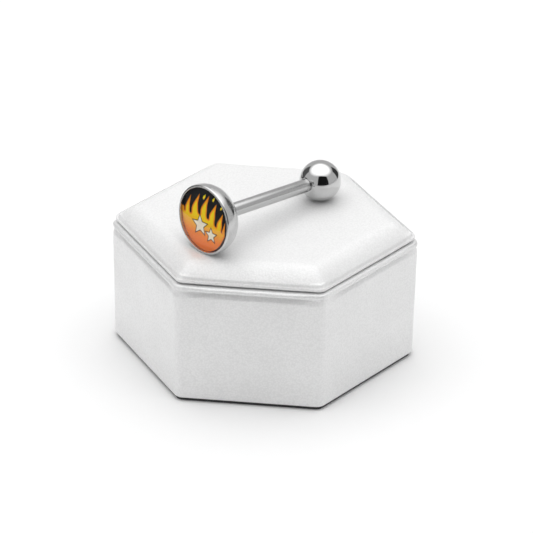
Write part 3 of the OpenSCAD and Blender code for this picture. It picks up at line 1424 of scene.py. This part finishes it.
@dataclass
class PaddedTop:
    """Padded panel on the block: a short upright edge, a long slope and a nearly flat top.

    Its cover is thin leatherette, glued taut over firm foam, so its shape is worked out point by
    point. Lengths are in millimetres.

    Attributes:
        barbell: The barbell that rests on it.
        outline: Its plan.
        from_z: Height of its underside.
        height: Its height at the edge of the nearly flat top.
        lip_h: Height of the folded lip round its edge.
        lip_w: Width of the lip.
        lip_round: Drop of the lip's outer corner, over the outer half of its width.
        lip_rings: Number of rings up the lip's upright side.
        crease: Depth of the line drawn in behind the lip.
        crease_from: Share of the lip's width at which it begins to fall to the line.
        crease_w: Width of that line's inner flank.
        crease_ends: Depths inside the next face between which the line gets its full depth.
        corner_crease: Share of the line's depth that is left at a corner.
        rise: Height of the line's inner flank.
        slope_w: Width of the long slope.
        slope_from: Share of the flank's width at which the slope begins.
        slope_bend: How round the slope is: 1 is straight.
        tight_ends: Depths inside the next face between which the slope gets its full width.
        corner_tight: Share by which the slope is narrower at a corner.
        hip_power: How sharply two slopes meet: a greater power is sharper.
        hip_from: Rise, as a share, from which meeting slopes are blended in full.
        foot_r: Rounding of its lower edge.
        foot_rings: Number of rings round that rounding.
        crown: Rise of the middle over the edge of the nearly flat top.
        crown_x: Distance across at which the crown has run out.
        crown_y: Distance to the front and back at which the crown has run out.
        crown_power: How late the crown falls off: a greater power is later.
        crown_in: Depth inside the faces from which the crown counts in full.
        loose: Faint waves of the cover.
        edge_w: Depth inside the faces to which the glued edge wavers.
        edge_lifts: How the glued edge rises and falls.
        edge_waver: How the glued edge stands out and in.
        spacing: Greatest distance between points along a face.
        rings: Number of rings from its edge to its middle.
        ring_even: Share of the rings' spacing that is even. The rest is closer at the edge.
        ring_power: How much closer the rest is at the edge.
        dent: Depth of the dents round the places where the steel rests.
        dent_w: Width of the dents.
        rim_rest: Distance behind the cup's rim of the place where the cup rests.
        sink_from: Height over its underside from which the cover may meet the steel.
        sink_steps: Greatest number of steps in which a point sinks clear of the steel.
        touch_gap: Gap that is kept between the cover and the steel.
        to_axis: Matrix from the frame to the barbell's own axis, which build() sets.
        rests: Places in plan where the steel rests, which build() sets.
    """

    barbell: Barbell
    outline: HexOutline = field(default_factory=lambda: HexOutline(inset=0.18))
    from_z: float = 15.8
    height: float = 2.1
    lip_h: float = 0.56
    lip_w: float = 0.18
    lip_round: float = 0.09
    lip_rings: int = 2
    crease: float = 0.41
    crease_from: float = 0.35
    crease_w: float = 0.33
    crease_ends: tuple[float, float] = (0.4, 2.0)
    corner_crease: float = 0.3
    rise: float = 0.4
    slope_w: float = 2.95
    slope_from: float = 0.6
    slope_bend: float = 1.8
    tight_ends: tuple[float, float] = (0.5, 4.5)
    corner_tight: float = 0.12
    hip_power: float = 2.6
    hip_from: float = 0.3
    foot_r: float = 0.38
    foot_rings: int = 5
    crown: float = 0.16
    crown_x: float = 17.0
    crown_y: float = 13.9
    crown_power: int = 6
    crown_in: float = 3.4
    loose: Unevenness = Unevenness(0.02, wave=5.5, seed=1.3)
    edge_w: float = 2.4
    edge_lifts: tuple[Unevenness, ...] = (
        Unevenness(0.03, wave=4.0, seed=6.6),
        Unevenness(0.012, wave=1.1, seed=8.3),
    )
    edge_waver: Unevenness = Unevenness(0.02, wave=3.2, seed=2.9)
    spacing: float = 0.25
    rings: int = 76
    ring_even: float = 0.17
    ring_power: float = 2.2
    dent: float = 0.03
    dent_w: float = 2.0
    rim_rest: float = 0.8
    sink_from: float = 1.5
    sink_steps: int = 8
    touch_gap: float = 0.012
    to_axis: Matrix = field(init=False)
    rests: list[Vector] = field(init=False)

    def slope(self, depth: float, width: float) -> float:
        """Work out the rise of the puffed skin at a depth inside one face.

        Args:
            depth: Depth inside the face.
            width: Depth at which the slope ends.

        Returns:
            The rise, from 0 at the slope's start to 1 at its end.
        """
        start = self.lip_w + self.slope_from * self.crease_w
        short = 1 - min(1.0, max(0.0, (depth - start) / (width - start)))
        return 1 - short ** self.slope_bend

    def surface(self, flat: Vector) -> float:
        """Height of the padded surface over the pad's underside.

        A narrow folded lip runs round the edge. The skin is drawn in behind it and bulges up.

        Args:
            flat: Point in plan.

        Returns:
            Height in millimetres.
        """
        inward = self.outline.inside_depth(flat)
        depths = self.outline.face_depths(flat)
        beside = sorted(depths)[1]
        full = step(*self.crease_ends, beside)
        crease = self.crease * (self.corner_crease + (1 - self.corner_crease) * full)
        if inward < self.lip_w:
            across = inward / self.lip_w
            round_off = self.lip_round * (1 - min(1.0, 2 * across)) ** 2
            return self.lip_h - round_off - crease * step(self.crease_from, 1.0, across)
        excess = min(depths) - inward
        width = self.slope_w * (1 - self.corner_tight * (1 - step(*self.tight_ends, beside)))
        slopes = [self.slope(depth - excess, width) for depth in depths]
        lowest = min(slopes)
        blended = 1 - sum((1 - slope) ** self.hip_power for slope in slopes) ** (1 / self.hip_power)
        share = max(0.0, lowest + (blended - lowest) * step(0.0, self.hip_from, lowest))
        inside = step(0.0, self.crown_in, min(depths))
        fall = (flat.x / self.crown_x) ** self.crown_power + (flat.y / self.crown_y) ** self.crown_power
        dome = self.crown * (1 - fall) * inside
        loose = self.loose.push(Vector((flat.x, flat.y, 0.0))) * inside
        foot = self.lip_h - crease + self.rise * step(0.0, self.crease_w, inward - self.lip_w)
        top = self.height - self.lip_h + crease - self.rise
        return foot + top * share + dome + loose - self.dents(flat)

    def dents(self, flat: Vector) -> float:
        """Measure how far the foam gives way round the two places where the steel rests."""
        near = [math.exp(-((flat - rest).length / self.dent_w) ** 2) for rest in self.rests]
        return self.dent * sum(near)

    def sink(self, point: Vector) -> float:
        """Let the pad give way under the ball and the cup.

        Args:
            point: Point of the padded surface, in the frame's millimetres.

        Returns:
            How far the point has to go down to clear the steel.
        """
        down = 0.0
        for _ in range(self.sink_steps):
            here = self.to_axis @ (point - Vector((0, 0, down)))
            room = self.barbell.clearance(here) - self.touch_gap
            if room >= 0:
                break
            down -= room
        return down

    def build(self) -> None:
        """Build and dress the padded panel."""
        place = self.barbell.place()
        self.to_axis = place.inverted()
        ball_spot = Vector((0, 0, self.barbell.ball_z))
        rim_spot = Vector((self.barbell.cup_r, 0, self.rim_rest))
        self.rests = [(place @ spot).xy for spot in (ball_spot, rim_spot)]
        bm, cap = self.outline.start_mesh(self.spacing)
        for vert in bm.verts:
            vert.co.xy -= self.outline.outward(vert.co.xy) * self.foot_r
        before = 0.0
        for turn in sweep(0.0, 90.0, self.foot_rings)[1:]:
            out = self.foot_r * math.sin(turn)
            rise = self.foot_r * (1 - math.cos(turn))
            change = out - before
            before = out

            def widen(co: Vector, change: float = change, z: float = rise) -> Vector:
                """Raise a point and push it out along the rounded foot."""
                flat = co.xy + self.outline.outward(co.xy) * change
                return Vector((flat.x, flat.y, z))

            cap = raise_ring(bm, cap, widen)
        edge_top = self.lip_h - self.lip_round
        for k in range(1, self.lip_rings + 1):
            z = self.foot_r + (edge_top - self.foot_r) * k / self.lip_rings
            cap = raise_ring(bm, cap, lambda co, z=z: Vector((co.x, co.y, z)))
        for k in range(1, self.rings):
            shrink = (1 - self.share_in(k)) / (1 - self.share_in(k - 1))
            cap = raise_ring(bm, cap, lambda co, shrink=shrink: Vector((co.x * shrink, co.y * shrink, co.z)))
        bmesh.ops.poke(bm, faces=[cap])
        for vert in bm.verts:
            if vert.co.z > edge_top - 0.01:
                vert.co.z = self.surface(vert.co.xy)
            self.pucker(vert)
        bmesh.ops.translate(bm, verts=bm.verts, vec=(0, 0, self.from_z))
        for vert in bm.verts:
            if vert.co.z > self.from_z + self.sink_from:
                vert.co.z -= self.sink(vert.co)
        bmesh.ops.recalc_face_normals(bm, faces=bm.faces)
        finish = PearlLeatherette("Pearl leatherette on the pad", "#EDEDED", "#E2E2E2", crease_mm=0.5,
                                  crease_deep_mm=0.012, crease_from_mm=15.0, crease_to_mm=14.0, pearl=0.2)
        piece = keep_piece(bm, "padded_top", TO_METRES, finish.make(), Slot.LEATHERETTE, sharp_deg=80.0)
        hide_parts("stand_pad")

    def share_in(self, k: int) -> float:
        """How far in a ring lies, as a share of the way to the middle; rings are closest at the edge."""
        share = k / self.rings
        return self.ring_even * share + (1 - self.ring_even) * share ** self.ring_power

    def pucker(self, vert: bmesh.types.BMVert) -> None:
        """Let the seam edge of the panel waver as a glued edge does.

        Args:
            vert: Point of the panel.
        """
        near_edge = 1 - step(0.0, self.edge_w, min(self.outline.face_depths(vert.co.xy)))
        if near_edge <= 0:
            return
        here = Vector((vert.co.x, vert.co.y, 0.0))
        vert.co.z += near_edge * sum(lift.push(here) for lift in self.edge_lifts)
        if near_edge > 0.5:
            vert.co.xy += self.outline.outward(vert.co.xy) * (near_edge * self.edge_waver.push(here))


@dataclass(frozen=True)
class StudioCard:
    """Dark or pale card of the studio, which the camera doesn't see.

    Attributes:
        name: The card's plain name.
        turn_deg: Direction from the ball, anticlockwise from +X.
        away_mm: Distance of its middle from the ball.
        width_mm: Its width.
        tall_mm: Its height, or its length where it lies on the table.
        middle_mm: Height of its middle.
        grey: Its linear grey.
        lean_deg: Its lean: 90 stands upright and 0 lies flat.
        for_matt: Whether it changes the light on matt faces. The other cards only show in what
            the steel and the lacquer mirror.
    """

    name: str
    turn_deg: float
    away_mm: float
    width_mm: float
    tall_mm: float
    middle_mm: float
    grey: float
    lean_deg: float = 90.0
    for_matt: bool = False

    def build(self) -> None:
        """Stand the card in the studio."""
        place = (Matrix.Translation((BALL_X, BALL_Y, self.middle_mm))
                 @ Matrix.Rotation(math.radians(self.turn_deg), 4, "Z")
                 @ Matrix.Translation((self.away_mm, 0, 0))
                 @ Matrix.Rotation(-math.radians(self.lean_deg), 4, "Y")
                 @ Matrix.Diagonal((self.tall_mm / 2, self.width_mm / 2, 1.0, 1.0)))
        material, _, shader = new_glow(self.name)
        shader.inputs["Emission Strength"].default_value = self.grey
        card = stage_sheet(self.name, TO_METRES @ place, material)
        card.visible_camera = False
        card.visible_diffuse = self.for_matt
        card.visible_glossy = not self.for_matt
        card.visible_shadow = False


@dataclass(frozen=True)
class SoftBox:
    """Wide cloth-fronted light over the table, which fades towards its edges.

    Attributes:
        wide_mm: Its width across the view.
        front_mm: How far it comes forward of the stand.
        back_mm: How far it reaches behind the stand.
        high_mm: Its height over the table.
        turn_deg: Its turn round the upright.
        glow: Radiance at its middle.
        edge_glow: Radiance at its faded edges, like the walls.
        full_share: Share of its half width within which it glows in full.
        middle_share: Place of its brightest spot, as a share of the way from front to back.
    """

    wide_mm: float = 720.0
    front_mm: float = 195.0
    back_mm: float = 390.0
    high_mm: float = 270.0
    turn_deg: float = 6.211
    glow: float = 1.98
    edge_glow: float = 0.64
    full_share: float = 0.42
    middle_share: float = 0.375

    def build(self) -> None:
        """Hang the light over the stand."""
        place = (Matrix.Rotation(math.radians(self.turn_deg), 4, "Z")
                 @ Matrix.Translation((0, (self.back_mm - self.front_mm) / 2, self.high_mm))
                 @ Matrix.Diagonal((self.wide_mm / 2, (self.back_mm + self.front_mm) / 2, 1.0, 1.0)))
        box = stage_sheet("softbox", TO_METRES @ place, self.cloth())
        box.visible_camera = False

    def cloth(self) -> bpy.types.Material:
        """Make the glowing cloth, which fades towards its edges.

        Returns:
            The finished material.
        """
        material, tree, shader = new_glow("Lit white cloth")
        coords = add_node(tree, "ShaderNodeTexCoord")
        centred = add_node(tree, "ShaderNodeMapping", {
            "Vector": coords.outputs["UV"], "Location": (-1.0, -2 * self.middle_share, 0.0),
            "Scale": (2.0, 2.0, 1.0),
        })
        away = add_node(tree, "ShaderNodeVectorMath", {0: centred.outputs[0]}, operation="LENGTH")
        glow = add_node(tree, "ShaderNodeMapRange", {
            "Value": away.outputs["Value"], "From Min": 1.0, "From Max": self.full_share,
            "To Min": self.edge_glow, "To Max": self.glow,
        }, interpolation_type="SMOOTHSTEP")
        tree.links.new(glow.outputs["Result"], shader.inputs["Emission Strength"])
        return material


@dataclass
class Studio:
    """White table, a wide soft light overhead, grey walls, cards and the camera.

    Attributes:
        focal_px: The lens's focal length in pixels of the photograph.
        image_px: The photograph's width in pixels.
        azimuth_deg: The camera's direction from the stand, anticlockwise from -Y.
        elevation_deg: Its height over the table, as an angle.
        roll_deg: Its lean to one side.
        distance_mm: Its distance from the frame's origin.
        right_mm: How far it is moved to its right.
        up_mm: How far it is moved up in its own view.
        softbox: The light overhead.
        wall_grey: Linear grey of the walls.
        ceiling_grey: Linear grey of the ceiling.
        ceiling_turn: Sines of the heights between which the walls turn into the ceiling.
        back_grey: Linear grey that the camera sees past the table.
        table_reach: Half the table's width, in metres.
        cards: The cards that stand round the object.
    """

    focal_px: float = 3492.0
    image_px: float = 533.0
    azimuth_deg: float = 6.211
    elevation_deg: float = 29.34
    roll_deg: float = 0.866
    distance_mm: float = 423.75
    right_mm: float = 0.420
    up_mm: float = 9.356
    softbox: SoftBox = SoftBox()
    wall_grey: float = 0.64
    ceiling_grey: float = 0.6
    ceiling_turn: tuple[float, float] = (0.7, 0.86)
    back_grey: float = 0.97
    table_reach: float = 2.5
    cards: tuple[StudioCard, ...] = (
        StudioCard("camera_opening", -68.0, 300.0, 350.0, 388.0, 206.0, 0.012),
        StudioCard("right_gap", 40.0, 300.0, 165.0, 210.0, 105.0, 0.06),
        StudioCard("left_gap", 154.0, 300.0, 200.0, 230.0, 115.0, 0.12),
        StudioCard("table_edge", 189.0, 160.0, 240.0, 190.0, 1.0, 0.06, 0.0),
        StudioCard("front_flag", -84.0, 205.0, 230.0, 145.0, 72.5, 0.06, for_matt=True),
        StudioCard("left_reflector", 200.0, 220.0, 220.0, 150.0, 75.0, 1.1, for_matt=True),
        StudioCard("right_reflector", -20.0, 220.0, 160.0, 130.0, 65.0, 1.2, for_matt=True),
    )

    def build_table(self) -> None:
        """Lay the white table under the stand."""
        reach = Matrix.Diagonal((self.table_reach, self.table_reach, 1.0, 1.0))
        stage_sheet("table", reach, TableTop().make())

    def build_lights(self) -> None:
        """Hang the soft light and give the room its grey walls."""
        self.softbox.build()
        world = bpy.data.worlds.new("Studio room")
        bpy.context.scene.world = world
        world.use_nodes = True
        tree = world.node_tree
        tree.nodes.clear()
        coords = add_node(tree, "ShaderNodeTexCoord")
        parts = add_node(tree, "ShaderNodeSeparateXYZ", {"Vector": coords.outputs["Generated"]})
        run = add_node(tree, "ShaderNodeValToRGB", {"Fac": parts.outputs["Z"]})
        wall = dimmed(WHITE, self.wall_grey)
        ceiling = dimmed(WHITE, self.ceiling_grey)
        backdrop = dimmed(WHITE, self.back_grey)
        wall_end, ceiling_start = self.ceiling_turn
        fill_ramp(run.color_ramp, [(0.0, wall), (wall_end, wall), (ceiling_start, ceiling)])
        room = add_node(tree, "ShaderNodeBackground", {"Color": run.outputs["Color"], "Strength": 1.0})
        white = add_node(tree, "ShaderNodeBackground", {"Color": backdrop, "Strength": 1.0})
        path = add_node(tree, "ShaderNodeLightPath")
        seen = add_node(tree, "ShaderNodeMixShader", {
            0: path.outputs["Is Camera Ray"], 1: room.outputs[0], 2: white.outputs[0],
        })
        add_node(tree, "ShaderNodeOutputWorld", {"Surface": seen.outputs[0]})

    def build_camera(self) -> None:
        """Set up the camera of the photograph."""
        azimuth = math.radians(self.azimuth_deg)
        elevation = math.radians(self.elevation_deg)
        roll = math.radians(self.roll_deg)
        back = Vector((math.sin(azimuth) * math.cos(elevation), -math.cos(azimuth) * math.cos(elevation),
                       math.sin(elevation)))
        level = Vector((math.cos(azimuth), math.sin(azimuth), 0.0))
        upright = back.cross(level)
        right = math.cos(roll) * level + math.sin(roll) * upright
        up = math.cos(roll) * upright - math.sin(roll) * level
        where = (back * self.distance_mm + right * self.right_mm + up * self.up_mm) * MM
        lens = bpy.data.cameras.new("camera")
        lens.sensor_width = 36.0
        lens.lens = self.focal_px / self.image_px * lens.sensor_width
        lens.clip_start = 0.01
        lens.clip_end = 20.0
        lens.dof.use_dof = False
        camera = bpy.data.objects.new("camera", lens)
        camera.matrix_world = Matrix((
            (right.x, up.x, back.x, where.x),
            (right.y, up.y, back.y, where.y),
            (right.z, up.z, back.z, where.z),
            (0, 0, 0, 1),
        ))
        bpy.context.scene.collection.objects.link(camera)
        bpy.context.scene.camera = camera

    def build(self) -> None:
        """Set up the table, the lights, the cards and the camera."""
        self.build_table()
        self.build_lights()
        for card in self.cards:
            card.build()
        self.build_camera()
        bpy.context.scene.view_settings.view_transform = "Standard"


def main() -> None:
    """Build every piece of the object and the studio round it."""
    logging.basicConfig(level=logging.INFO, format="%(name)s %(message)s")
    barbell = Barbell()
    barbell.build()
    PictureUnderEpoxy(barbell).build()
    StandBlock().build()
    PaddedTop(barbell).build()
    Studio().build()


if __name__ == "__main__":
    main()
